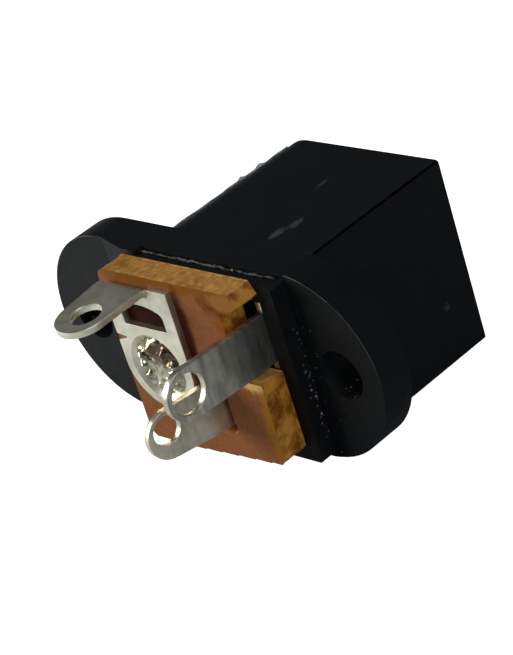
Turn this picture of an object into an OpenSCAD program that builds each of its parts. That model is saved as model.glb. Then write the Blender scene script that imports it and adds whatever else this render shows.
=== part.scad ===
// Panel-mount DC barrel jack with solder tags
//
// X runs along the two screw holes, Y runs from the socket's mouth (-Y) to the tags (+Y), and Z is up.
// The origin is midway between the screw holes, in the flange face that bears on the panel.

/* [Housing block] */
// Width of the block that passes through the panel, along X
body_w = 12; // [11.5:0.1:15]
// Height of the block and of the flange, along Z
body_h = 11; // [10:0.1:14]
// Length of the block from the panel face to the socket's mouth
body_l = 10; // [9:0.1:14]
// Radius of the block's two long edges beside the socket
barrel_side_r = 2.4; // [0.5:0.1:3]
// Radius of the block's two long edges beside the springs
spring_side_r = 0.2; // [0.1:0.05:1]

/* [Flange] */
// Distance from each screw hole to that end of the flange
ear_end = 2.7; // [2.4:0.1:4]
// Thickness of the flange
flange_t = 2.1; // [1.5:0.1:3]
// Distance between the two screw holes
screw_pitch = 19; // [18:0.1:22]
// Distance from the springs' side of the block to the nearer screw hole
spring_ear = 2.0; // [1.8:0.1:3]
// Diameter of the screw holes
screw_d = 2.8; // [2:0.1:3.4]
// Height of the terminal board's boss above the flange
boss_rise = 1.0; // [0.5:0.1:2]
// Step in from the block's outline to the boss's outline
boss_step = 0.25; // [0.1:0.05:0.5]
// Radius of the boss's corners beside the socket
boss_r = 0.5; // [0.2:0.1:1]
// Width of the ramp that runs from the flange up to the boss
ramp_w = 2.2; // [1:0.1:2.6]
// Height of that ramp where it meets the boss
ramp_h = 0.6; // [0.2:0.05:0.9]

/* [Socket] */
// Diameter of the socket bore
bore_d = 5.8; // [5.6:0.05:6.2]
// Depth of the socket bore from the mouth
bore_depth = 9.4; // [8.5:0.1:9.6]
// Wall between the bore and the nearest side of the block
bore_wall = 0.55; // [0.4:0.05:1.2]
// Height of the socket's axis above the middle of the block
socket_z = 0.15; // [0:0.05:0.3]
// Lead-in bevel round the mouth
mouth_bevel = 0.3; // [0.1:0.05:0.5]
// Outer diameter of the plug that the spring presses on
plug_d = 5.5; // [5.3:0.05:5.7]

/* [Spring pocket] */
// Wall between the bore and the spring pocket
pocket_wall = 0.8; // [0.5:0.05:1.2]
// Side wall of the pocket, outside the sleeve contact
side_wall = 1.3; // [0.8:0.05:1.4]
// Thickness of the block's face in front of the pocket
front_wall = 1.2; // [0.8:0.1:2]
// Height above the axis of the pocket's wide part
pocket_top = 4.1; // [3:0.05:4.2]
// Depth below the axis of the pocket's wide part
pocket_low = 3.2; // [2.6:0.05:4]
// Half height of the narrow part, where the spring reaches into the bore
window_z = 2.0; // [1.8:0.05:2.4]

/* [Centre pin] */
// Diameter of the pin's free end
pin_d = 2.0; // [1.9:0.05:2.5]
// Depth of the pin's tip inside the mouth
pin_recess = 0.7; // [0.3:0.1:2]
// Diameter of the collar that stands on the floor of the bore
collar_d = 3.2; // [2.8:0.1:4]
// Thickness of the collar
collar_t = 0.6; // [0.4:0.1:1]
// Diameter of the tail that is staked over the plate
tail_d = 1.8; // [1.4:0.05:2]
// Radius of the staked head
head_r = 1.45; // [1.2:0.05:1.6]
// Thickness of the head's rolled rim
head_t = 0.8; // [0.5:0.05:1]

/* [Terminal board] */
// Thickness of the board
board_t = 1.6; // [1.2:0.1:2]
// Step in from the boss's side to the board's side, beside the springs
board_side = 0.85; // [0.5:0.05:1]
// Step in from the boss's side to the board's side, beside the socket
board_flush = 0.05; // [0:0.05:0.4]
// Step up from the boss's lower edge to the board's lower edge, below the socket
board_low = 0.15; // [0.05:0.05:0.6]
// Rise of the board's lower edge from there to the springs' side
board_skew = 0.42; // [0:0.02:0.6]
// Overhang of the board past the boss's upper edge
board_over = 0.35; // [0:0.05:0.5]
// Radius of the board's two corners beside the socket
board_r = 0.65; // [0.2:0.05:1.2]
// Width and height of the corner sheared off above the sleeve tag
board_chip = [0.5, 1.0]; // [0.1:0.1:1.5]
// Depth of the notch that the sleeve tag stands in
notch_d = 1.45; // [1:0.05:1.6]
// Room between the notch's lower end and the sleeve tag
notch_room = 0.45; // [0.2:0.05:0.8]
// Height that the notch's upper edge flares by at its mouth
notch_flare = 0.6; // [0:0.05:0.8]

/* [Centre terminal] */
// Thickness of the plate
plate_t = 0.4; // [0.3:0.05:0.5]
// Width of the plate, which is also twice the radius of its round end
plate_w = 5.1; // [4.8:0.1:5.6]
// Height above the axis at which the tag leaves the plate
plate_top = 5.0; // [4.8:0.05:5.1]
// Height above the axis of the plate's shoulder beside the tag
shoulder_z = 4.9; // [4.4:0.05:5]
// Outer radius of the dished seat round the staked head
dish_r = 2.0; // [1.7:0.05:2.05]
// Radius of the dish's flat floor
dish_floor_r = 1.5; // [1.3:0.05:1.65]
// Depth of the dish
dish_depth = 0.5; // [0.3:0.05:0.8]
// Height above the axis of the plate window's flat edge
window_low = 2.47; // [2.45:0.01:2.8]
// Radius about the axis of the window's curved edge
window_out = 3.85; // [3.4:0.05:4.1]
// Ends of the window along X, from the axis
window_x = [-1.7, 1.55]; // [-1.9:0.05:1.9]
// Corner radius of the window beside the plate's shoulder
window_r = 0.45; // [0.1:0.05:0.6]

/* [Solder tags] */
// Width of the centre tag
centre_tag_w = 3.4; // [3:0.1:4]
// Distance from the panel face to the centre tag's eye
centre_eye_y = 7.8; // [7.5:0.1:10]
// Diameter of the centre tag's eye
centre_eye_d = 1.8; // [1.4:0.05:2.2]
// Diameter of the centre tag's round end
centre_end_d = 3.1; // [2.8:0.1:4]
// Place of the round end's centre past the eye, along and across the tag
centre_end = [0.1, -0.15]; // [-0.3:0.05:0.3]
// Droop of the centre tag, in degrees
centre_droop = 5; // [0:1:10]
// Width of the sleeve tag
sleeve_tag_w = 2.84; // [2.4:0.05:3]
// Distance from the panel face to the sleeve tag's eye
sleeve_eye_y = 8.85; // [8:0.1:10]
// Diameter of the sleeve tag's eye
sleeve_eye_d = 2.2; // [1.4:0.05:2.4]
// Rise of the sleeve tag's eye above its root
sleeve_rise = 0.17; // [0:0.01:0.5]
// Lean of the sleeve tag towards the socket side, in degrees
sleeve_lean = 1.5; // [0:0.5:12]
// Step down from the sleeve contact's top to its tag
sleeve_step = 0.6; // [0.2:0.05:1]
// Width of the switch tag
switch_tag_w = 3.0; // [2.4:0.05:3.2]
// Distance from the panel face to the switch tag's eye
switch_eye_y = 8.4; // [7.5:0.1:10]
// Diameter of the switch tag's eye
switch_eye_d = 1.65; // [1.4:0.05:1.9]
// Diameter of the switch tag's round end
switch_end_d = 2.75; // [2.5:0.05:3.2]
// Place of the round end's centre past the eye, along and across the tag
switch_end = [-0.15, -0.3]; // [-0.3:0.05:0.3]
// Lean of the switch tag towards the socket side, in degrees
switch_lean = 9; // [0:1:12]
// Rise of the switch tag's eye above its root
switch_rise = 0.4; // [0:0.05:0.5]

/* [Springs] */
// Thickness of the strip that the two spring contacts are cut from
strip_t = 0.4; // [0.3:0.05:0.5]
// Thickness of the sleeve contact's arm, which is rolled thinner
arm_t = 0.3; // [0.2:0.05:0.4]
// Half height of that arm
arm_z = 1.6; // [1.2:0.05:1.7]
// Distance from the panel face to the arm's root
arm_root = 0.5; // [0.2:0.1:1]
// Distance from the panel face to the arm's bent tip
arm_tip = 6.9; // [6:0.1:7.3]
// Distance that the relaxed tip stands inside the plug's outline
arm_dip = 0.35; // [0.2:0.05:0.6]
// Play between pieces that fit in or pass through each other
slip = 0.05; // [0.02:0.01:0.1]

/* [Hidden] */
$fn = 64;

// The flange is centred on the screw holes, and the block stands beside one of them.
flange_l = screw_pitch + 2 * ear_end;
body_x0 = spring_ear - screw_pitch / 2;
body_x1 = body_x0 + body_w;
socket_x = body_x1 - bore_wall - bore_d / 2;

// Heights along Y, from the mouth to the tags
mouth_y = -body_l;
floor_y = mouth_y + bore_depth;
boss_y = flange_t + boss_rise;
board_y = boss_y + board_t;
plate_y = board_y + plate_t;
pocket_y = mouth_y + front_wall;

// The pocket lies between the bore and the block's far side.
pocket_x0 = body_x0 + side_wall;
pocket_x1 = socket_x - bore_d / 2 - pocket_wall;
sleeve_x = pocket_x0 + slip + strip_t / 2;
switch_x = pocket_x1 - slip - strip_t / 2;

// The two contacts fill the pocket's height, and their tags leave it at these heights.
sleeve_top = socket_z + pocket_top - slip;
sleeve_z = sleeve_top - sleeve_step - sleeve_tag_w / 2;
strip_low = socket_z - pocket_low + slip;
switch_z = strip_low + 0.2 + switch_tag_w / 2;
switch_base_top = switch_z + switch_tag_w / 2 + 1.4;
bend_y = board_y + 0.2;

// The board's edges, set from the boss
board_x0 = body_x0 + boss_step + board_side;
board_x1 = body_x1 - boss_step - board_flush;
board_z0 = boss_step - body_h / 2 + board_low;
board_z1 = body_h / 2 - boss_step + board_over;

// The spring's bent tip, and the line from its root to that tip
tip_x = socket_x - plug_d / 2 + arm_dip - arm_t / 2;
arm_run = [tip_x - sleeve_x, arm_root - arm_tip];
arm_len = norm(arm_run);
end_x = tip_x - 1.2;
end_y = -arm_tip - 1.3;

// The switch blade stops where its corner all but meets the arm's side.
touch_x = switch_x - strip_t / 2 - 0.03;
touch_y = -arm_root
    + (touch_x - sleeve_x - arm_t / 2 * arm_len / abs(arm_run[1])) * arm_run[1] / arm_run[0];

// Both contacts stand on this ledge, where the pocket narrows.
ledge_y = touch_y - slip;

module housing() {
    color([0.07, 0.07, 0.08])
    difference() {
        union() {
            slab(mouth_y, 0) block_outline(0, barrel_side_r);
            slab(0, flange_t) flange_outline();
            slab(0, boss_y) block_outline(boss_step, boss_r);
            ramp();
        }
        for (side = [-1, 1])
            translate([side * screw_pitch / 2, 0, 0])
                slab(-1, flange_t + 1) circle(d = screw_d);
        socket();
        pocket();
        slab(floor_y - 1, boss_y + 1) on_axis() circle(d = tail_d + 2 * slip);
    }
}

// Blind bore with a bevelled mouth
module socket() {
    slab(mouth_y - 1, floor_y) on_axis() circle(d = bore_d);
    along_y(mouth_y)
        cylinder(h = 2 * mouth_bevel, r1 = bore_d / 2 + mouth_bevel, r2 = bore_d / 2 - mouth_bevel);
}

// Space for the two contacts: wide down to the ledge, then narrow and open into the bore
module pocket() {
    slab(ledge_y, boss_y + 1)
        box_2d([pocket_x0, pocket_x1], [socket_z - pocket_low, socket_z + pocket_top]);
    slab(pocket_y, ledge_y + 0.01)
        box_2d([pocket_x0, socket_x], [socket_z - window_z, socket_z + window_z]);
}

// Sloped web from the flange up to the boss, on the socket's side
module ramp() {
    foot = body_x1 - boss_step;
    translate([0, 0, -body_h / 2])
        linear_extrude(body_h)
            polygon([
                [foot - 1, flange_t - 1],
                [foot + ramp_w, flange_t - 1],
                [foot + ramp_w, flange_t],
                [foot, flange_t + ramp_h],
                [foot - 1, flange_t + ramp_h]
            ]);
}

module terminal_board() {
    color([0.72, 0.44, 0.20])
    difference() {
        slab(boss_y, board_y) board_outline();
        along_y(board_y - dish_depth - slip)
            dish(dish_depth + slip + 0.01, dish_r + plate_t, dish_floor_r + plate_t);
        slab(boss_y - 1, board_y + 1) on_axis() circle(d = tail_d + 2 * slip);
    }
}

// The lower edge runs level below the plate and then rises, and one upper corner is sheared off.
module board_outline() {
    difference() {
        union() {
            polygon([
                [board_x1 - board_r, board_z0],
                [board_x1, board_z0 + board_r],
                [board_x1, board_z1 - board_r],
                [board_x1 - board_r, board_z1],
                [board_x0 + board_chip[0], board_z1],
                [board_x0, board_z1 - board_chip[1]],
                [board_x0, board_z0 + board_skew + board_r / 2],
                [board_x0 + board_r / 2, board_z0 + board_skew],
                [socket_x, board_z0]
            ]);
            for (z = [board_z0 + board_r, board_z1 - board_r])
                translate([board_x1 - board_r, z]) circle(r = board_r);
        }
        sleeve_notch();
        switch_slot();
    }
}

// Notch for the sleeve tag, with its upper edge flared towards the mouth
module sleeve_notch() {
    low = sleeve_z - sleeve_tag_w / 2 - notch_room;
    top = sleeve_top + slip;
    slope = 2 * notch_flare / notch_d;
    polygon([
        [board_x0 - 1, low],
        [board_x0 + notch_d, low],
        [board_x0 + notch_d, top],
        [board_x0 + notch_d / 2, top],
        [board_x0 - 1, top + slope * (notch_d / 2 + 1)]
    ]);
}

// Slot for the switch tag, with the drilled hole that it was cut from
module switch_slot() {
    w = strip_t / 2 + slip;
    h = switch_tag_w / 2 + 2 * slip;
    box_2d([switch_x - w, switch_x + w], [switch_z - h, switch_z + h]);
    translate([switch_x, switch_z - h]) circle(r = 1.4 * w);
}

module centre_pin() {
    color([0.72, 0.70, 0.62])
    along_y(0) rotate_extrude() {
        // Free end with a small bevel round the tip
        polygon([
            [0, mouth_y + pin_recess],
            [pin_d / 2 - 0.3, mouth_y + pin_recess],
            [pin_d / 2, mouth_y + pin_recess + 0.3],
            [pin_d / 2, floor_y],
            [0, floor_y]
        ]);
        // Collar on the bore's floor, and the tail behind it
        translate([0, floor_y - collar_t]) square([collar_d / 2, collar_t]);
        translate([0, floor_y - 0.1]) square([tail_d / 2, seat_y() + 0.1 + head_t / 2 - floor_y]);
        // Staked head: a rolled rim round a shallow crater
        translate([0, seat_y()]) square([head_r - head_t / 2, head_t * 0.75]);
        translate([head_r - head_t / 2, seat_y() + head_t / 2]) circle(d = head_t);
    }
}

module centre_terminal() {
    color([0.80, 0.80, 0.78]) {
        difference() {
            union() {
                slab(board_y, plate_y) plate_outline();
                along_y(board_y - dish_depth)
                    dish(dish_depth + plate_t, dish_r + plate_t, dish_floor_r + plate_t);
            }
            along_y(seat_y()) dish(dish_depth + 0.01, dish_r, dish_floor_r);
            slab(board_y - 2, plate_y + 1) on_axis() circle(d = tail_d + 2 * slip);
        }
        centre_tag();
    }
}

// Plate drawn about the axis: a round end below, the tag's root and a shoulder above
module plate_outline() {
    side = plate_w / 2;
    on_axis() difference() {
        union() {
            circle(r = side);
            box_2d([-side, side], [0, bend_z()]);
            box_2d([-side, tag_x() - centre_tag_w / 2], [0, shoulder_z]);
        }
        plate_window();
        // Shear nick in the outer edge
        translate([side, 1.5])
            polygon([[0.1, -0.25], [-0.9, 0.05], [0.1, 0.2]]);
    }
}

// Window between the dish and the tag's bend: flat below, curved above, rounded at one end
module plate_window() {
    r = window_r;
    corner = [window_x[0] + r, sqrt(pow(window_out - r, 2) - pow(window_x[0] + r, 2))];
    intersection() {
        circle(r = window_out);
        union() {
            box_2d([corner[0], window_x[1]], [window_low, window_out]);
            box_2d([window_x[0], corner[0] + 0.01], [window_low, corner[1]]);
            translate(corner) circle(r = r);
        }
    }
}

// Tag that leaves the plate's upper edge through a rounded bend
module centre_tag() {
    bend = bend_r();
    translate([socket_x + tag_x(), board_y + bend + plate_t, socket_z + bend_z()]) {
        rotate([90, 0, 90])
            linear_extrude(centre_tag_w, center = true)
                bend_2d(bend, plate_t, 90 - centre_droop, 180);
        rotate([-centre_droop, 0, 0])
            translate([0, -0.01, bend])
                rotate([0, 0, 90])
                    linear_extrude(plate_t)
                        tag_2d(centre_eye_y - board_y - bend - plate_t, centre_tag_w, centre_eye_d, 0,
                               centre_end_d, centre_end);
    }
}

module sleeve_contact() {
    color([0.78, 0.78, 0.76]) {
        translate([sleeve_x, 0, 0]) strip_plane() difference() {
            union() {
                box_2d([touch_y, boss_y - slip], [strip_low, sleeve_top]);
                box_2d([0, bend_y], [sleeve_z - sleeve_tag_w / 2, sleeve_z + sleeve_tag_w / 2]);
            }
            // The arm is cut free of the two legs on either side of it.
            box_2d([touch_y - 1, -arm_root], [socket_z - arm_z - 0.15, socket_z + arm_z + 0.15]);
        }
        leaning_tag(sleeve_x, sleeve_z, sleeve_tag_w, sleeve_lean)
            tag_2d(sleeve_eye_y - bend_y, sleeve_tag_w, sleeve_eye_d, sleeve_rise, sleeve_tag_w, [0, 0]);
        translate([0, 0, socket_z - arm_z])
            linear_extrude(2 * arm_z)
                strip_2d([[sleeve_x, 0], [sleeve_x, -arm_root], [tip_x, -arm_tip], [end_x, end_y]], arm_t);
    }
}

module switch_contact() {
    color([0.76, 0.76, 0.75]) {
        translate([switch_x, 0, 0]) strip_plane() {
            box_2d([touch_y, boss_y - slip], [strip_low, switch_base_top]);
            box_2d([0, bend_y], [switch_z - switch_tag_w / 2, switch_z + switch_tag_w / 2]);
        }
        leaning_tag(switch_x, switch_z, switch_tag_w, switch_lean)
            tag_2d(switch_eye_y - bend_y, switch_tag_w, switch_eye_d, switch_rise, switch_end_d, switch_end);
    }
}

// Outline of the block, stepped in all round by s, with radius r1 beside the socket
module block_outline(s, r1) {
    x0 = body_x0 + s;
    x1 = body_x1 - s;
    z = body_h / 2 - s;
    r0 = spring_side_r;
    box_2d([x0 + r0, x1 - r1], [-z, z]);
    box_2d([x0, x0 + r0 + 0.01], [r0 - z, z - r0]);
    box_2d([x1 - r1 - 0.01, x1], [r1 - z, z - r1]);
    for (side = [-1, 1]) {
        translate([x0 + r0, side * (z - r0)]) circle(r = r0);
        translate([x1 - r1, side * (z - r1)]) circle(r = r1);
    }
}

// Obround with full-round ends
module flange_outline() {
    r = body_h / 2;
    box_2d([r - flange_l / 2, flange_l / 2 - r], [-r, r]);
    for (side = [-1, 1])
        translate([side * (flange_l / 2 - r), 0]) circle(r = r);
}

// Solder tag in its own plane: root of width w at x = 0, eye at x = reach and raised by rise,
// round end of diameter end_d with its centre at end from the eye
module tag_2d(reach, w, eye_d, rise, end_d, end) {
    x = reach + end[0];
    y = rise + end[1];
    r = end_d / 2;
    difference() {
        union() {
            polygon([[0, -w / 2], [x, y - r], [x, y + r], [0, w / 2]]);
            translate([x, y]) circle(r = r);
        }
        translate([reach, rise]) circle(d = eye_d);
    }
}

// Tag of width w that stands on a strip's end and leans towards +X from there
module leaning_tag(x, z, w, lean) {
    translate([x, bend_y, z]) {
        rotate([0, 0, -lean]) strip_plane() children();
        cylinder(h = w, d = strip_t, center = true);
    }
}

// Sector of a bent sheet: inner radius r, thickness t, from angle a0 to angle a1
module bend_2d(r, t, a0, a1) {
    far = 2 * (r + t);
    mid = (a0 + a1) / 2;
    intersection() {
        difference() {
            circle(r = r + t);
            circle(r = r);
        }
        polygon([[0, 0], far * [cos(a0), sin(a0)], far * [cos(mid), sin(mid)], far * [cos(a1), sin(a1)]]);
    }
}

// Strip of thickness t along points, rounded at its bends
module strip_2d(points, t) {
    last = len(points) - 1;
    for (i = [1:last]) {
        run = points[i] - points[i - 1];
        translate(points[i - 1])
            rotate(atan2(run[1], run[0]))
                translate([0, -t / 2]) square([norm(run), t]);
    }
    for (i = [1:last - 1])
        translate(points[i]) circle(d = t);
}

// Shallow dish as a solid of revolution, standing on z = 0
module dish(depth, top_r, floor_r) {
    cylinder(h = depth, r1 = floor_r, r2 = top_r);
}

// Extrudes a plan drawn in X and Z from y0 back to y1
module slab(y0, y1) {
    translate([0, y1, 0]) rotate([90, 0, 0]) linear_extrude(y1 - y0) children();
}

// Lays a plan drawn in Y and Z across X as a strip centred on x = 0
module strip_plane() {
    translate([-strip_t / 2, 0, 0]) rotate([90, 0, 90]) linear_extrude(strip_t) children();
}

// Turns a solid's +Z to +Y and puts it on the socket's axis at y
module along_y(y) {
    translate([socket_x, y, socket_z]) rotate([-90, 0, 0]) children();
}

// Puts a plan's centre on the socket's axis
module on_axis() {
    translate([socket_x, socket_z]) children();
}

module box_2d(x, y) {
    translate([x[0], y[0]]) square([x[1] - x[0], y[1] - y[0]]);
}

// Rear face of the dish's floor, where the staked head sits
function seat_y() = board_y - dish_depth + plate_t;

// Middle of the centre tag from the axis: the tag leaves the plate 0.15 mm inside its outer edge
function tag_x() = plate_w / 2 - 0.15 - centre_tag_w / 2;

// Inner radius of the centre tag's bend, and the height above the axis where that bend starts
function bend_r() = 0.3;
function bend_z() = plate_top - bend_r() - plate_t;

housing();
terminal_board();
centre_pin();
centre_terminal();
sleeve_contact();
switch_contact();
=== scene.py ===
# A panel-mount DC barrel jack on its flat underside, seen from behind with its solder tags towards us.
import math

import bpy
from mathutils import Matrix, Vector


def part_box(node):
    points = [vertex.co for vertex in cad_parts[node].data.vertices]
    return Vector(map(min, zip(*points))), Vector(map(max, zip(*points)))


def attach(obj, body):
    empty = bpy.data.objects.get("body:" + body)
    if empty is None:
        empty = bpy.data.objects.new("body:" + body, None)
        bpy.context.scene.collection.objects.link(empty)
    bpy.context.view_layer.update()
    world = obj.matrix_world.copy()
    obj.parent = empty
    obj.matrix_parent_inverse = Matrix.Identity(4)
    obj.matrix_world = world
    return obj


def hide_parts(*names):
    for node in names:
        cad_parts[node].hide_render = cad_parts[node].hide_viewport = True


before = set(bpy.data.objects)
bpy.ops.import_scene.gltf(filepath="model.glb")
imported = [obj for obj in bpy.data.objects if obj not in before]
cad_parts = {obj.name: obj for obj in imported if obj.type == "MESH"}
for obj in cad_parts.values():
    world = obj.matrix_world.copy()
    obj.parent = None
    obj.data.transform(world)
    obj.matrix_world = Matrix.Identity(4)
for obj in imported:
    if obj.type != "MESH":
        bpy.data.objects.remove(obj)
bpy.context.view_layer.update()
MM = 0.001

# ---------------------------------------------------------------------------------------------------------
# Housing. One black thermoplastic moulding: the block that goes through the panel, the flange and the
# boss behind it. It comes out of the tool with slightly soft edges, a fine matt skin and a trace of
# flash where the tool shuts.


def deselect_all():
    if bpy.context.mode != "OBJECT":
        bpy.ops.object.mode_set(mode="OBJECT")
    bpy.ops.object.select_all(action="DESELECT")


def take_up(piece):
    deselect_all()
    piece.select_set(True)
    bpy.context.view_layer.objects.active = piece


def worked_copy(node, name, weld=0.001 * MM):
    """A merged copy of a plain solid, ready to be worked on, that stands for it."""
    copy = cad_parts[node].copy()
    copy.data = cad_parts[node].data.copy()
    copy.name = copy.data.name = name
    copy.data.materials.clear()
    bpy.context.scene.collection.objects.link(copy)
    take_up(copy)
    bpy.ops.object.mode_set(mode="EDIT")
    bpy.ops.mesh.select_all(action="SELECT")
    bpy.ops.mesh.customdata_custom_splitnormals_clear()
    bpy.ops.mesh.remove_doubles(threshold=weld)
    bpy.ops.mesh.dissolve_limited(angle_limit=math.radians(0.3))
    bpy.ops.object.mode_set(mode="OBJECT")
    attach(copy, "root")
    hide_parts(node)
    return copy


def select_edges(piece, wanted):
    """Opens the piece in edit mode with the wanted edges selected. The test is given an edge's two ends."""
    take_up(piece)
    bpy.ops.object.mode_set(mode="EDIT")
    bpy.ops.mesh.select_mode(type="EDGE")
    bpy.ops.mesh.select_all(action="DESELECT")
    bpy.ops.object.mode_set(mode="OBJECT")
    corners = piece.data.vertices
    for edge in piece.data.edges:
        one, other = edge.vertices
        edge.select = wanted(corners[one].co, corners[other].co)
    bpy.ops.object.mode_set(mode="EDIT")


def soften_edges(piece, width, angle=30, segments=3, clamp=True):
    """Rounds every edge sharper than the angle, and keeps the flats flat."""
    take_up(piece)
    bevel = piece.modifiers.new("soft edges", "BEVEL")
    bevel.width = width
    bevel.segments = segments
    bevel.limit_method = "ANGLE"
    bevel.angle_limit = math.radians(angle)
    bevel.use_clamp_overlap = clamp
    bevel.miter_outer = "MITER_ARC"
    bpy.ops.object.modifier_apply(modifier=bevel.name)
    bpy.ops.object.shade_smooth_by_angle(angle=math.radians(40))
    flats = piece.modifiers.new("flat faces", "WEIGHTED_NORMAL")
    flats.keep_sharp = True
    flats.weight = 100
    bpy.ops.object.modifier_apply(modifier=flats.name)


def new_material(name):
    material = bpy.data.materials.new(name)
    material.use_nodes = True
    nodes, links = material.node_tree.nodes, material.node_tree.links
    skin = nodes["Principled BSDF"]
    place = nodes.new("ShaderNodeTexCoord")
    return material, nodes, links, skin, place.outputs["Object"]


def feed(links, socket, value):
    """Sets a socket to a number, a vector or a colour, or links another socket to it."""
    if isinstance(value, (int, float)):
        socket.default_value = value
    elif isinstance(value, tuple):
        socket.default_value = (*value, 1.0) if socket.type == "RGBA" else value
    else:
        links.new(value, socket)


def add_math(nodes, links, operation, a, b=None, clamp=False):
    step = nodes.new("ShaderNodeMath")
    step.operation = operation
    step.use_clamp = clamp
    feed(links, step.inputs[0], a)
    if b is not None:
        feed(links, step.inputs[1], b)
    return step.outputs[0]


def add_chain(nodes, links, operation, values):
    """Runs one operation through a row of masks or numbers."""
    result = values[0]
    for value in values[1:]:
        result = add_math(nodes, links, operation, result, value)
    return result


def add_vector_math(nodes, links, operation, *values):
    step = nodes.new("ShaderNodeVectorMath")
    step.operation = operation
    for socket, value in zip(step.inputs, values):
        feed(links, socket, value)
    return step.outputs


def add_mix(nodes, links, mask, a, b):
    """Mixes two colours by a mask. The node's colours come after its plain numbers and vectors."""
    mix = nodes.new("ShaderNodeMix")
    mix.data_type = "RGBA"
    factor, first_colour, second_colour = mix.inputs[0], mix.inputs[6], mix.inputs[7]
    feed(links, factor, mask)
    feed(links, first_colour, a)
    feed(links, second_colour, b)
    return mix.outputs[2]


def add_range(nodes, links, value, low, high, to_low=0.0, to_high=1.0):
    """Stretches a value from one span to another, and holds it at the ends."""
    span = nodes.new("ShaderNodeMapRange")
    links.new(value, span.inputs["Value"])
    span.inputs["From Min"].default_value = low
    span.inputs["From Max"].default_value = high
    span.inputs["To Min"].default_value = to_low
    span.inputs["To Max"].default_value = to_high
    return span.outputs[0]


def add_noise(nodes, links, place, scale, detail=4.0, roughness=0.55, squeeze=None):
    """Noise over the piece. The scale counts its patches in a metre."""
    if squeeze:
        fit = nodes.new("ShaderNodeMapping")
        fit.inputs["Scale"].default_value = squeeze
        links.new(place, fit.inputs["Vector"])
        place = fit.outputs[0]
    noise = nodes.new("ShaderNodeTexNoise")
    links.new(place, noise.inputs["Vector"])
    feed(links, noise.inputs["Scale"], scale)
    feed(links, noise.inputs["Detail"], detail)
    feed(links, noise.inputs["Roughness"], roughness)
    return noise.outputs["Fac"]


def add_bump(nodes, links, skin, height, strength, distance):
    bump = nodes.new("ShaderNodeBump")
    bump.inputs["Strength"].default_value = strength
    bump.inputs["Distance"].default_value = distance
    links.new(height, bump.inputs["Height"])
    links.new(bump.outputs[0], skin.inputs["Normal"])


def split_xyz(nodes, links, vector):
    split = nodes.new("ShaderNodeSeparateXYZ")
    links.new(vector, split.inputs[0])
    return split.outputs


def add_facing(nodes, links):
    """The way the surface faces, in its three parts."""
    geometry = nodes.new("ShaderNodeNewGeometry")
    return split_xyz(nodes, links, geometry.outputs["Normal"])


def new_group(name, inputs, outputs):
    """An empty shader node group with these sockets: (name, kind, value) in, (name, kind) out."""
    group = bpy.data.node_groups.new(name, "ShaderNodeTree")
    for label, kind, value in inputs:
        socket = group.interface.new_socket(label, in_out="INPUT", socket_type=kind)
        if value is not None:
            socket.default_value = value
    for label, kind in outputs:
        group.interface.new_socket(label, in_out="OUTPUT", socket_type=kind)
    return group, group.nodes.new("NodeGroupInput"), group.nodes.new("NodeGroupOutput")


def use_group(nodes, links, group, **values):
    part = nodes.new("ShaderNodeGroup")
    part.node_tree = group
    for label, value in values.items():
        feed(links, part.inputs[label], value)
    return part.outputs


def build_dust():
    """Dust flecks: small bright grains where the cover is thick, none where it is thin."""
    largest_grain = 0.46
    grain_sharpness = 9.0
    group, inside, out = new_group(
        "dust flecks",
        [
            ("Place", "NodeSocketVector", None),
            ("Scale", "NodeSocketFloat", 3000.0),
            ("Cover", "NodeSocketFloat", 0.2),
        ],
        [("Mask", "NodeSocketFloat")],
    )
    nodes, links = group.nodes, group.links
    cells = nodes.new("ShaderNodeTexVoronoi")
    cells.feature = "F1"
    links.new(inside.outputs["Place"], cells.inputs["Vector"])
    links.new(inside.outputs["Scale"], cells.inputs["Scale"])
    pick = nodes.new("ShaderNodeSeparateColor")
    links.new(cells.outputs["Color"], pick.inputs[0])
    chosen = add_math(nodes, links, "LESS_THAN", pick.outputs["Red"], inside.outputs["Cover"])
    size = add_math(nodes, links, "MULTIPLY", pick.outputs["Green"], largest_grain)
    near = add_math(nodes, links, "SUBTRACT", size, cells.outputs["Distance"])
    grain = add_math(nodes, links, "MULTIPLY", near, grain_sharpness, clamp=True)
    links.new(add_math(nodes, links, "MULTIPLY", grain, chosen), out.inputs["Mask"])
    return group


def build_patch():
    """A soft patch round a point: full at its middle, gone past its reach, frayed by noise."""
    edge_sharpness = 2.2
    group, inside, out = new_group(
        "frayed patch",
        [
            ("Place", "NodeSocketVector", None),
            ("Middle", "NodeSocketVector", (0.0, 0.0, 0.0)),
            ("Reach", "NodeSocketVector", (0.001, 0.001, 0.001)),
            ("Fray", "NodeSocketFloat", 0.5),
            ("Scale", "NodeSocketFloat", 2000.0),
        ],
        [("Mask", "NodeSocketFloat")],
    )
    nodes, links = group.nodes, group.links
    place = inside.outputs["Place"]
    away = add_vector_math(nodes, links, "SUBTRACT", place, inside.outputs["Middle"])
    share = add_vector_math(nodes, links, "DIVIDE", away["Vector"], inside.outputs["Reach"])
    length = add_vector_math(nodes, links, "LENGTH", share["Vector"])
    noise = add_noise(nodes, links, place, inside.outputs["Scale"], detail=5.0, roughness=0.5)
    swing = add_math(nodes, links, "SUBTRACT", noise, 0.5)
    fray = add_math(nodes, links, "MULTIPLY", swing, inside.outputs["Fray"])
    edge = add_math(nodes, links, "ADD", length["Value"], fray)
    inner = add_math(nodes, links, "SUBTRACT", 1.0, edge)
    mask = add_math(nodes, links, "MULTIPLY", inner, edge_sharpness, clamp=True)
    links.new(mask, out.inputs["Mask"])
    return group


dust_flecks = build_dust()
frayed_patch = build_patch()


def add_patch(nodes, links, place, middle, reach, fray, scale):
    """A frayed patch, with its middle and its reach in millimetres."""
    patch = use_group(
        nodes,
        links,
        frayed_patch,
        Place=place,
        Middle=tuple(value * MM for value in middle),
        Reach=tuple(value * MM for value in reach),
        Fray=fray,
        Scale=scale,
    )
    return patch["Mask"]


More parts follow.
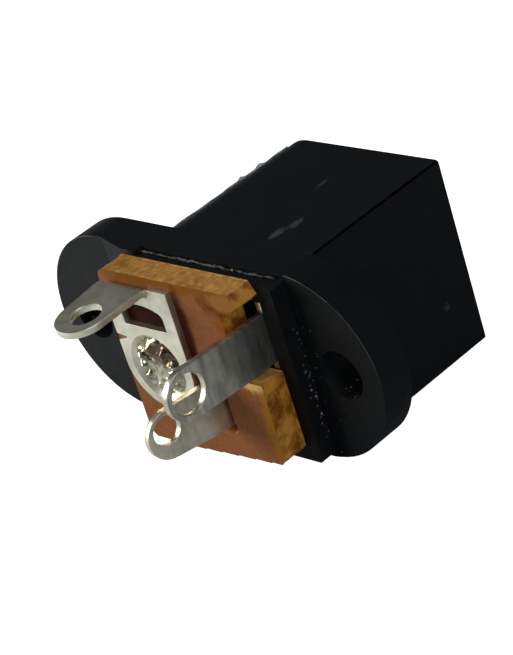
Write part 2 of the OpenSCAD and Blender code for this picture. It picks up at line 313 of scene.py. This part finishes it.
def add_patches(nodes, links, place, patches, scale):
    """One mask for several patches, each a middle, a reach and how frayed it is."""
    masks = [add_patch(nodes, links, place, *patch, scale) for patch in patches]
    return add_chain(nodes, links, "MAXIMUM", masks)


housing = worked_copy("housing", "housing_moulding")

# The ears are moulded rounder than the rest round their rear rims, outside the block's own width.
ear_back = 2.1 * MM
block_left = -7.5 * MM
block_right = 4.5 * MM
screw_offset = 9.5 * MM
screw_clear = 1.7 * MM
near_enough = 0.02 * MM


def on_ear_rim(point):
    beyond = point.x < block_left - near_enough or point.x > block_right + near_enough
    from_screw = math.hypot(abs(point.x) - screw_offset, point.z)
    return beyond and abs(point.y - ear_back) < near_enough and from_screw > screw_clear


select_edges(housing, lambda one, other: on_ear_rim(one) and on_ear_rim(other))
bpy.ops.mesh.bevel(offset=0.28 * MM, segments=4, clamp_overlap=True)
bpy.ops.object.mode_set(mode="OBJECT")
soften_edges(housing, width=0.12 * MM)

black_plastic, nodes, links, skin, place = new_material("black moulded plastic")
deep_black = (0.0016, 0.0018, 0.0020)
pale_black = (0.0030, 0.0033, 0.0036)
rubbed_grey = (0.045, 0.047, 0.05)
dust_grey = (0.10, 0.102, 0.104)
painted_shade_black = (0.0004, 0.0005, 0.0006)
painted_rim_highlight_grey = (0.120, 0.123, 0.126)
mottle = add_noise(nodes, links, place, scale=420, detail=5.0)
colour = add_mix(nodes, links, mottle, deep_black, pale_black)

# Scuffs on the block's upper face, and a small one on its side, where the skin is rubbed to grey.
scuffs = (
    ((-4.16, -2.2, 5.5), (0.30, 0.72, 0.5), 0.7),
    ((-3.86, -1.15, 5.5), (0.34, 0.72, 0.5), 1.2),
    ((-2.5, -6.1, 5.5), (0.18, 0.55, 0.5), 0.7),
    ((-7.5, -7.8, -2.2), (0.4, 0.3, 0.3), 0.8),
)
rubbed = add_patches(nodes, links, place, scuffs, scale=3200.0)
streaks = add_noise(nodes, links, place, scale=2600, detail=3.0, roughness=0.6, squeeze=(1.0, 0.35, 1.0))
rubbed = add_math(nodes, links, "MULTIPLY", rubbed, add_range(nodes, links, streaks, 0.35, 0.7))
colour = add_mix(nodes, links, rubbed, colour, rubbed_grey)

# Dust gathers on the ear beside the boss, in the corner that a finger can't wipe, and in the screw hole.
dusty_places = (
    ((-7.70, 2.2, -1.2), (0.85, 0.5, 4.8), 0.7),
    ((-9.3, 1.0, -1.6), (1.0, 1.6, 1.1), 0.9),
    ((-8.6, 2.1, -3.6), (0.8, 0.5, 0.9), 1.2),
)
thick_cover = 0.80
stray_cover = 0.0003
settled = add_patches(nodes, links, place, dusty_places, scale=1100.0)
cover = add_math(nodes, links, "MULTIPLY", settled, thick_cover)
cover = add_math(nodes, links, "ADD", cover, stray_cover)

# The grains' places are shaken by noise, so that none of them is round.
shake = 0.18 * MM
wander = nodes.new("ShaderNodeTexNoise")
links.new(place, wander.inputs["Vector"])
wander.inputs["Scale"].default_value = 9000.0
shaken = add_vector_math(nodes, links, "MULTIPLY_ADD", wander.outputs["Color"], (shake, shake, shake), place)
flecks = use_group(nodes, links, dust_flecks, Place=shaken["Vector"], Scale=4700.0, Cover=cover)
colour = add_mix(nodes, links, flecks["Mask"], colour, dust_grey)

# Painted shade: the gap beside the boss is painted nearly black, with the dust flecks left on top, and made
# rougher.
boss_gap_shade = add_patch(nodes, links, place, (-7.70, 2.1, -0.8), (0.80, 0.5, 7.5), fray=0.35, scale=900.0)
painted_shade_mask = add_math(nodes, links, "SUBTRACT", boss_gap_shade, flecks["Mask"], clamp=True)
painted_shade_mask = add_math(nodes, links, "MULTIPLY", painted_shade_mask, 0.85)
colour = add_mix(nodes, links, painted_shade_mask, colour, painted_shade_black)

# Painted highlight: the rounded rear rims of the ears are painted grey, most of all in their upper half,
# broken up by noise.
facing = add_facing(nodes, links)
position = split_xyz(nodes, links, place)
turned_from_side = add_range(nodes, links, facing["Y"], 0.45, 0.70)
turned_from_back = add_range(nodes, links, facing["Y"], 0.955, 0.89)
from_middle = add_math(nodes, links, "ABSOLUTE", position["X"])
beyond_block = add_range(nodes, links, from_middle, 7.0 * MM, 7.6 * MM)
upper_half = add_range(nodes, links, position["Z"], 0.0, 2.5 * MM, to_low=0.15)
highlight_breakup = add_range(nodes, links, add_noise(nodes, links, place, scale=1200), 0.35, 0.6, to_low=0.25)
rim_highlight_masks = (turned_from_side, turned_from_back, beyond_block, upper_half, highlight_breakup)
rim_highlight = add_chain(nodes, links, "MULTIPLY", rim_highlight_masks)
colour = add_mix(nodes, links, rim_highlight, colour, painted_rim_highlight_grey)
links.new(colour, skin.inputs["Base Color"])

gloss = add_noise(nodes, links, place, scale=900, detail=3.0)
gloss = add_range(nodes, links, gloss, 0.3, 0.7, to_low=0.48, to_high=0.60)
gloss = add_math(nodes, links, "ADD", gloss, add_math(nodes, links, "MULTIPLY", rubbed, 0.15))
gloss = add_math(nodes, links, "ADD", gloss, add_math(nodes, links, "MULTIPLY", boss_gap_shade, 0.35))
links.new(gloss, skin.inputs["Roughness"])
skin.inputs["Specular IOR Level"].default_value = 0.11
grain = add_noise(nodes, links, place, scale=7000, detail=3.0)
add_bump(nodes, links, skin, grain, strength=0.45, distance=0.02 * MM)
housing.data.materials.append(black_plastic)


def edge_rod(name, radius, span, middle, turn):
    """A thin rod along an edge of the moulding, cut into short lengths that can be roughened."""
    deselect_all()
    bpy.ops.mesh.primitive_cylinder_add(
        vertices=10,
        radius=radius,
        depth=span,
        location=middle,
        rotation=turn,
    )
    rod = bpy.context.object
    rod.name = rod.data.name = name
    bpy.ops.object.transform_apply(location=True, rotation=True, scale=True)
    select_edges(rod, lambda one, other: (one - other).length > 0.5 * span)
    bpy.ops.mesh.subdivide(number_cuts=100)
    bpy.ops.object.mode_set(mode="OBJECT")
    return rod


def roughen(piece, name, grain_size, depth, middle=0.5, group=""):
    """Pushes the surface in and out by cloudy noise."""
    take_up(piece)
    clouds = bpy.data.textures.new(name, "CLOUDS")
    clouds.noise_scale = grain_size
    push = piece.modifiers.new(name, "DISPLACE")
    push.texture = clouds
    push.texture_coords = "LOCAL"
    push.strength = depth
    push.mid_level = middle
    push.vertex_group = group
    bpy.ops.object.modifier_apply(modifier=push.name)


# Flash: a ragged bead where the tool shuts along the boss's upper rear edge. Its grey patches are painted
# highlight, the broken light line along that edge, and its brown bits are crumbs of board.
bead_middle = (-1.5 * MM, 2.32 * MM, 5.31 * MM)
along_x = (0.0, math.radians(90), 0.0)
bead = edge_rod("boss_flash", 0.085 * MM, 11.0 * MM, bead_middle, along_x)
roughen(bead, "flash ragged", grain_size=0.30 * MM, depth=0.24 * MM, middle=0.60)
roughen(bead, "flash pitted", grain_size=0.12 * MM, depth=0.05 * MM)
bpy.ops.object.shade_smooth()

flash_skin, nodes, links, skin, place = new_material("plastic flash with painted highlight")
flash_black = (0.003, 0.003, 0.0033)
painted_highlight_grey = (0.060, 0.060, 0.057)
board_crumbs = (0.16, 0.07, 0.02)
# The grey patches mixed in below are painted highlight.
torn = add_range(nodes, links, add_noise(nodes, links, place, scale=1500, detail=5.0), 0.50, 0.60)
bead_colour = add_mix(nodes, links, torn, flash_black, painted_highlight_grey)
brown_bits = add_range(nodes, links, add_noise(nodes, links, place, scale=2100, detail=2.0), 0.63, 0.68)
links.new(add_mix(nodes, links, brown_bits, bead_colour, board_crumbs), skin.inputs["Base Color"])
links.new(add_range(nodes, links, torn, 0.0, 1.0, to_low=0.5, to_high=0.8), skin.inputs["Roughness"])
skin.inputs["Specular IOR Level"].default_value = 0.2
bead.data.materials.append(flash_skin)
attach(bead, "root")

# A ragged, matt, near-black rod runs down the block's upper edge on the spring side: painted shade, the dark
# line along that edge.
shade_rod_middle = (-7.435 * MM, -5.0 * MM, 5.435 * MM)
along_y = (math.radians(90), 0.0, 0.0)
shade_rod = edge_rod("edge_shade_rod", 0.060 * MM, 9.7 * MM, shade_rod_middle, along_y)
roughen(shade_rod, "shade rod ragged", grain_size=0.55 * MM, depth=0.07 * MM, middle=0.60)
bpy.ops.object.shade_smooth()

shade_rod_skin, nodes, links, skin, place = new_material("painted shade edge line")
painted_shade_rod_black = (0.0003, 0.0003, 0.0004)
painted_shade_rod_pale = (0.0012, 0.0013, 0.0015)
dull = add_noise(nodes, links, place, scale=900)
links.new(add_mix(nodes, links, dull, painted_shade_rod_black, painted_shade_rod_pale), skin.inputs["Base Color"])
links.new(add_range(nodes, links, dull, 0.3, 0.7, to_low=0.85), skin.inputs["Roughness"])
skin.inputs["Specular IOR Level"].default_value = 0.0
shade_rod.data.materials.append(shade_rod_skin)
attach(shade_rod, "root")

# A thin fin of flash runs down the block's rounded side, with two small torn burrs on it. It is painted pale
# grey as a painted highlight, the light strip along that edge.
fin_lean = math.radians(57.2)
fin_foot = Vector((3.36 * MM, 0.0, 5.06 * MM))
fin_out = Vector((math.cos(fin_lean), 0.0, math.sin(fin_lean)))
fin_front = -9.6 * MM
fin_back = -0.2 * MM
fin_height = 0.15 * MM
fin_ripple = 0.02 * MM
fin_burrs = ((0.40, 0.020, 0.12 * MM), (0.24, 0.028, 0.13 * MM))
deselect_all()
bpy.ops.mesh.primitive_grid_add(x_subdivisions=4, y_subdivisions=160, size=1.0)
fin = bpy.context.object
fin.name = fin.data.name = "side_flash"
for vertex in fin.data.vertices:
    along = vertex.co.y + 0.5
    up = vertex.co.x + 0.5
    height = fin_height + fin_ripple * math.sin(along * 23.0) * math.sin(along * 9.0)
    for burr_along, burr_width, burr_height in fin_burrs:
        height += burr_height * math.exp(-((along - burr_along) / burr_width) ** 2)
    spot = fin_foot + fin_out * (height * up)
    spot.y = fin_front + (fin_back - fin_front) * along
    vertex.co = spot
take_up(fin)
wall = fin.modifiers.new("fin wall", "SOLIDIFY")
wall.thickness = 0.03 * MM
bpy.ops.object.modifier_apply(modifier=wall.name)
bpy.ops.object.mode_set(mode="EDIT")
bpy.ops.mesh.select_all(action="SELECT")
bpy.ops.mesh.normals_make_consistent(inside=False)
bpy.ops.object.mode_set(mode="OBJECT")

fin_highlight_skin, nodes, links, skin, place = new_material("fin with painted highlight")
# Painted highlight: the fin's pale greys.
fin_highlight_grey = (0.10, 0.102, 0.105)
fin_highlight_pale = (0.42, 0.42, 0.41)
fin_highlight_mask = add_range(nodes, links, add_noise(nodes, links, place, scale=1300), 0.38, 0.62)
links.new(add_mix(nodes, links, fin_highlight_mask, fin_highlight_grey, fin_highlight_pale), skin.inputs["Base Color"])
skin.inputs["Roughness"].default_value = 0.6
fin.data.materials.append(fin_highlight_skin)
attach(fin, "root")

# ---------------------------------------------------------------------------------------------------------
# Terminal board. Paper laminate in golden brown, punched from the sheet, so its edges show the torn
# fibres of the layers while its faces are smooth. It lies on the boss and is clamped there by the
# staked pin.

board = worked_copy("terminal_board", "terminal_board_laminate")
grid = board.modifiers.new("even mesh", "REMESH")
grid.mode = "VOXEL"
grid.voxel_size = 0.075 * MM
bpy.ops.object.modifier_apply(modifier=grid.name)

# Only the punched edge is eased and torn: where the surface faces neither front nor back.
flat_enough = 0.9
punched_edge = board.vertex_groups.new(name="punched edge")
for vertex in board.data.vertices:
    if abs(vertex.normal.y) < flat_enough:
        punched_edge.add([vertex.index], 1.0, "REPLACE")
ease = board.modifiers.new("eased edge", "SMOOTH")
ease.factor = 0.5
ease.iterations = 6
ease.vertex_group = punched_edge.name
bpy.ops.object.modifier_apply(modifier=ease.name)
for name, grain_size, depth in (("torn fibres", 0.9 * MM, 0.16 * MM), ("fine fibres", 0.30 * MM, 0.05 * MM)):
    roughen(board, name, grain_size, depth, middle=1.0, group="punched edge")
bpy.ops.object.shade_smooth_by_angle(angle=math.radians(35))

laminate, nodes, links, skin, place = new_material("paper laminate")
face_dark = (0.135, 0.043, 0.014)
face_light = (0.205, 0.074, 0.026)
face_speckle = (0.30, 0.14, 0.05)
facing = add_facing(nodes, links)
on_face = add_range(nodes, links, add_math(nodes, links, "ABSOLUTE", facing["Y"]), 0.80, 0.96)
cloudy = add_noise(nodes, links, place, scale=260, detail=5.0)
face_colour = add_mix(nodes, links, cloudy, face_dark, face_light)
speckle = add_range(nodes, links, add_noise(nodes, links, place, scale=5200, detail=3.0), 0.4, 0.75)
speckle = add_math(nodes, links, "MULTIPLY", speckle, 0.25)
face_colour = add_mix(nodes, links, speckle, face_colour, face_speckle)

# The punch has bruised the face to burnt orange along its upper edge, and torn it gold at the corner and the
# notch. The last two patches are painted shade: the shadow inside the plate's window and the shadow the
# plate casts along its side.
for middle, reach, fray, shade in (
    ((-1.2, 4.7, 5.75), (7.5, 0.9, 0.95), 0.9, (0.150, 0.048, 0.004)),
    ((-4.9, 4.7, 4.7), (1.7, 0.9, 0.9), 1.3, (0.105, 0.028, 0.002)),
    ((-5.4, 4.7, 4.95), (1.5, 0.9, 0.75), 1.8, (0.190, 0.080, 0.014)),
    ((-5.0, 4.7, 3.3), (0.9, 0.9, 0.7), 1.5, (0.170, 0.052, 0.002)),
    ((-5.7, 4.7, 0.2), (1.0, 0.9, 0.55), 1.5, (0.42, 0.26, 0.09)),
    ((-6.2, 4.7, -2.4), (0.6, 0.9, 2.8), 1.4, (0.24, 0.095, 0.010)),
    ((0.9, 4.7, 3.3), (3.4, 0.9, 1.5), 0.4, (0.022, 0.003, 0.0005)),
    ((-1.70, 4.7, 1.6), (0.62, 0.9, 4.4), 0.4, (0.050, 0.009, 0.002)),
):
    spot = add_patch(nodes, links, place, middle, reach, fray, scale=1500.0)
    face_colour = add_mix(nodes, links, spot, face_colour, shade)

# Punched edges show the layers: pale gold crumbs on a darker orange ground. The edges facing the notched
# side are painted darker and redder, as painted shade.
edge_ground = (0.235, 0.100, 0.018)
edge_crumb = (0.40, 0.200, 0.054)
edge_dark = (0.17, 0.058, 0.008)
shaded_side_ground = (0.130, 0.038, 0.003)
shaded_side_flake = (0.38, 0.150, 0.022)
fibres = add_noise(nodes, links, place, scale=2600, detail=6.0, roughness=0.7, squeeze=(1.0, 0.6, 1.0))
crumbs = add_range(nodes, links, fibres, 0.36, 0.66)
edge_colour = add_mix(nodes, links, crumbs, edge_ground, edge_crumb)
clumps = add_noise(nodes, links, place, scale=650, detail=5.0, roughness=0.65)
dark_clumps = add_math(nodes, links, "MULTIPLY", add_range(nodes, links, clumps, 0.5, 0.68), 0.75)
edge_colour = add_mix(nodes, links, dark_clumps, edge_colour, edge_dark)
flakes = add_noise(nodes, links, place, scale=1700, detail=5.0, roughness=0.6, squeeze=(1.0, 0.5, 0.45))
shaded_side_colour = add_mix(nodes, links, add_range(nodes, links, flakes, 0.42, 0.60), shaded_side_ground, shaded_side_flake)
notched_side = add_range(nodes, links, facing["X"], -0.9, -0.4, to_low=1.0, to_high=0.0)
edge_colour = add_mix(nodes, links, notched_side, edge_colour, shaded_side_colour)
links.new(add_mix(nodes, links, on_face, edge_colour, face_colour), skin.inputs["Base Color"])
skin.inputs["Roughness"].default_value = 0.72
skin.inputs["Specular IOR Level"].default_value = 0.05
rough = add_math(nodes, links, "ADD", fibres, add_math(nodes, links, "MULTIPLY", clumps, 0.6))
smoother_face = add_range(nodes, links, on_face, 0.0, 1.0, to_low=1.0, to_high=0.22)
uneven = add_math(nodes, links, "MULTIPLY", rough, smoother_face)
add_bump(nodes, links, skin, uneven, strength=0.6, distance=0.06 * MM)
board.data.materials.append(laminate)

# ---------------------------------------------------------------------------------------------------------
# Centre pin. Turned from brass and nickel plated. Its tail comes out through the board and the plate,
# and a punch has rolled it over into a crinkled head.

pin = worked_copy("centre_pin", "centre_pin_turned")
soften_edges(pin, width=0.04 * MM, segments=2)

# The plain head shrinks, so that the crinkled one covers it.
pin_axis = Vector((1.05 * MM, 0.0, 0.15 * MM))
head_seat = 4.6 * MM
head_narrowing = 0.72
head_lowering = 0.6
for vertex in pin.data.vertices:
    if vertex.co.y > head_seat + near_enough:
        vertex.co.x = pin_axis.x + (vertex.co.x - pin_axis.x) * head_narrowing
        vertex.co.z = pin_axis.z + (vertex.co.z - pin_axis.z) * head_narrowing
        vertex.co.y = head_seat + (vertex.co.y - head_seat) * head_lowering

plated_pin, nodes, links, skin, place = new_material("plated turned brass")
stained_plating = (0.17, 0.140, 0.080)
bright_plating = (0.52, 0.50, 0.37)
flux_and_shade_brown = (0.10, 0.070, 0.042)
stain = add_noise(nodes, links, place, scale=2200, detail=5.0, roughness=0.65)
plating = add_range(nodes, links, stain, 0.38, 0.62)
plating = add_mix(nodes, links, plating, stained_plating, bright_plating)
# A brown crescent beside the head: partly a flux stain, partly painted shade where the plate's edge shades
# the seat.
flux_and_shade_patch = add_patch(nodes, links, place, (0.40, 5.0, 1.05), (1.6, 0.9, 1.0), fray=0.9, scale=2200.0)
links.new(add_mix(nodes, links, flux_and_shade_patch, plating, flux_and_shade_brown), skin.inputs["Base Color"])
skin.inputs["Metallic"].default_value = 1.0
skin.inputs["Roughness"].default_value = 0.22
dents = add_noise(nodes, links, place, scale=1300, detail=1.5)
add_bump(nodes, links, skin, dents, strength=0.35, distance=0.10 * MM)
pin.data.materials.append(plated_pin)

# The staked head: metal that the punch has split and folded into a ring of small lumps round a low middle.
head_r = 1.72 * MM
head_flatness = 0.24
head_middle = Vector((pin_axis.x, head_seat + 0.16 * MM, pin_axis.z))
lump_count = 9
lump_height = 0.26 * MM
lump_ring = 0.66
lump_ring_width = 0.22
crater_depth = 0.16 * MM
crater_width = 0.40
deselect_all()
bpy.ops.mesh.primitive_ico_sphere_add(subdivisions=6, radius=head_r, location=(0.0, 0.0, 0.0))
head = bpy.context.object
head.name = head.data.name = "centre_pin_head"
for vertex in head.data.vertices:
    radius = math.hypot(vertex.co.x, vertex.co.z) / head_r
    turn = math.atan2(vertex.co.z, vertex.co.x)
    lumps = 0.5 + 0.5 * math.cos(turn * lump_count + 1.4 * math.sin(turn * 2.0))
    ring = math.exp(-((radius - lump_ring) / lump_ring_width) ** 2)
    crater = math.exp(-((radius / crater_width) ** 2))
    vertex.co.y *= head_flatness
    if vertex.co.y > 0.0:
        vertex.co.y += lump_height * lumps * ring - crater_depth * crater
    vertex.co += head_middle
roughen(head, "folded metal", grain_size=0.95 * MM, depth=0.42 * MM)
bpy.ops.object.shade_smooth()
head.data.materials.append(plated_pin)
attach(head, "root")

# ---------------------------------------------------------------------------------------------------------
# Centre terminal. Stamped from bright plated brass: a plate with a dished seat round the pin's head, a
# curved window and one tag bent out at a right angle.


def build_sheet_metal():
    """Stamped and barrel-plated strip: drawn streaks, handling marks and a dull bloom."""
    group, inside, out = new_group(
        "stamped metal",
        [("Place", "NodeSocketVector", None), ("Squeeze", "NodeSocketVector", (1.0, 1.0, 1.0))],
        [("Bloom", "NodeSocketFloat"), ("Streak", "NodeSocketFloat")],
    )
    nodes, links = group.nodes, group.links
    place = inside.outputs["Place"]
    bloom = add_noise(nodes, links, place, scale=700, detail=6.0, roughness=0.6)
    links.new(bloom, out.inputs["Bloom"])
    drawn = add_vector_math(nodes, links, "MULTIPLY", place, inside.outputs["Squeeze"])
    streak = add_noise(nodes, links, drawn["Vector"], scale=2300, detail=3.0, roughness=0.5)
    links.new(streak, out.inputs["Streak"])
    return group


stamped_metal = build_sheet_metal()


def sheet_material(name, dark, light, squeeze, roughness, streaking=0.08):
    """Plated sheet. The squeeze draws its streaks out along the strip, and streaking darkens them."""
    material, nodes, links, skin, place = new_material(name)
    marks = use_group(nodes, links, stamped_metal, Place=place, Squeeze=squeeze)
    bloom = add_range(nodes, links, marks["Bloom"], 0.35, 0.65)
    plated = add_mix(nodes, links, bloom, dark, light)
    streak = add_range(nodes, links, marks["Streak"], 0.42, 0.66, to_high=streaking)
    worn = tuple(0.35 * channel for channel in dark)
    links.new(add_mix(nodes, links, streak, plated, worn), skin.inputs["Base Color"])
    skin.inputs["Metallic"].default_value = 1.0
    uneven = add_math(nodes, links, "MULTIPLY", marks["Streak"], 0.18)
    links.new(add_math(nodes, links, "ADD", uneven, roughness), skin.inputs["Roughness"])
    relief = add_math(nodes, links, "ADD", marks["Streak"], marks["Bloom"])
    add_bump(nodes, links, skin, relief, strength=0.35, distance=0.02 * MM)
    return material


def stamped_piece(node, name, material):
    """A stamped part with finely rounded edges. Its shortest edges are welded away before the rounding."""
    piece = worked_copy(node, name, weld=0.02 * MM)
    soften_edges(piece, width=0.03 * MM, angle=55, segments=2, clamp=False)
    piece.data.materials.append(material)
    return piece


plated_plate = sheet_material(
    "plated plate",
    dark=(0.50, 0.48, 0.37),
    light=(0.72, 0.69, 0.56),
    squeeze=(0.2, 1.0, 1.0),
    roughness=0.30,
)
centre_plate = stamped_piece("centre_terminal", "centre_terminal_plate", plated_plate)

# ---------------------------------------------------------------------------------------------------------
# Sleeve contact. Plated spring strip, stamped and bent: its tag stands in the board's notch, and its arm
# reaches into the bore to press on a plug.

plated_spring = sheet_material(
    "plated spring strip",
    dark=(0.46, 0.42, 0.33),
    light=(0.76, 0.70, 0.57),
    squeeze=(1.0, 1.0, 0.10),
    roughness=0.22,
    streaking=0.60,
)
sleeve = stamped_piece("sleeve_contact", "sleeve_contact_strip", plated_spring)

# ---------------------------------------------------------------------------------------------------------
# Switch contact. The same strip: a flat blade that the sleeve contact's arm leans on until a plug lifts
# it off.

# Its plating is tinted browner than the sleeve contact's: a painted reflection of the brown board beside it.
switch_plating_and_reflection = sheet_material(
    "plated switch strip with painted reflection",
    dark=(0.46, 0.40, 0.30),
    light=(0.74, 0.665, 0.52),
    squeeze=(1.0, 1.0, 0.10),
    roughness=0.22,
    streaking=0.25,
)
switch = stamped_piece("switch_contact", "switch_contact_strip", switch_plating_and_reflection)

# ---------------------------------------------------------------------------------------------------------
# Studio. A sheet of pale paper lies under the block's flat side, and a window, an overhead lamp and a
# weak fill light the jack. The camera looks from behind and above the tags.

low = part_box("housing")[0]
floor_gap = 0.02 * MM
floor_size = 3.0
deselect_all()
bpy.ops.mesh.primitive_plane_add(size=floor_size, location=(0.0, 0.0, low[2] - floor_gap))
floor = bpy.context.object
floor.name = "floor"
paper, nodes, links, skin, place = new_material("pale floor paper")
feed(links, skin.inputs["Base Color"], (0.34, 0.35, 0.36))
skin.inputs["Roughness"].default_value = 0.9
skin.inputs["Specular IOR Level"].default_value = 0.0

# Straight from the camera the floor is white. What it throws on the jack is bright on the window's side
# and falls off on the other.
window_side = (0.8, 0.6, 0.0)
across = add_vector_math(nodes, links, "DOT_PRODUCT", place, window_side)
side_strength = add_range(nodes, links, across["Value"], -4.0 * MM, 14.0 * MM, to_high=0.52)
white_strength = 1.05


def add_glow(nodes, links, surface, strength):
    """A surface with a glow of its own."""
    glow = nodes.new("ShaderNodeEmission")
    feed(links, glow.inputs["Strength"], strength)
    both = nodes.new("ShaderNodeAddShader")
    links.new(surface.outputs[0], both.inputs[0])
    links.new(glow.outputs[0], both.inputs[1])
    return both.outputs[0]


seen = nodes.new("ShaderNodeLightPath")
blend = nodes.new("ShaderNodeMixShader")
links.new(seen.outputs["Is Camera Ray"], blend.inputs[0])
links.new(add_glow(nodes, links, skin, side_strength), blend.inputs[1])
links.new(add_glow(nodes, links, skin, white_strength), blend.inputs[2])
links.new(blend.outputs[0], nodes["Material Output"].inputs["Surface"])
floor.data.materials.append(paper)


def add_softbox(name, at, size, power, colour=(1.0, 1.0, 1.0)):
    """A square area light aimed at the jack."""
    data = bpy.data.lights.new(name, "AREA")
    data.size = size
    data.energy = power
    data.color = colour
    lamp = bpy.data.objects.new(name, data)
    lamp.location = at
    lamp.rotation_euler = (-Vector(at)).to_track_quat("-Z", "Y").to_euler()
    bpy.context.scene.collection.objects.link(lamp)


add_softbox("window light", at=(0.27, 0.20, 0.12), size=0.20, power=1.5)
add_softbox("overhead light", at=(-0.02, 0.08, 0.42), size=0.35, power=0.55)
add_softbox("fill light", at=(-0.30, 0.10, 0.14), size=0.25, power=0.8, colour=(0.72, 0.88, 1.0))

world = bpy.data.worlds.new("studio")
bpy.context.scene.world = world
world.use_nodes = True
surroundings = world.node_tree.nodes["Background"]
surroundings.inputs["Color"].default_value = (0.9, 0.95, 1.0, 1.0)
surroundings.inputs["Strength"].default_value = 0.12

camera_data = bpy.data.cameras.new("camera")
camera_data.lens = 140.9
camera_data.sensor_width = 36.0
camera_data.clip_start = 0.01
camera = bpy.data.objects.new("camera", camera_data)
camera.location = (-0.09616, 0.07348, 0.06182)
camera.rotation_euler = (math.radians(61.60), math.radians(15.67), math.radians(-136.09))
bpy.context.scene.collection.objects.link(camera)
bpy.context.scene.camera = camera
bpy.context.scene.view_settings.view_transform = "Standard"
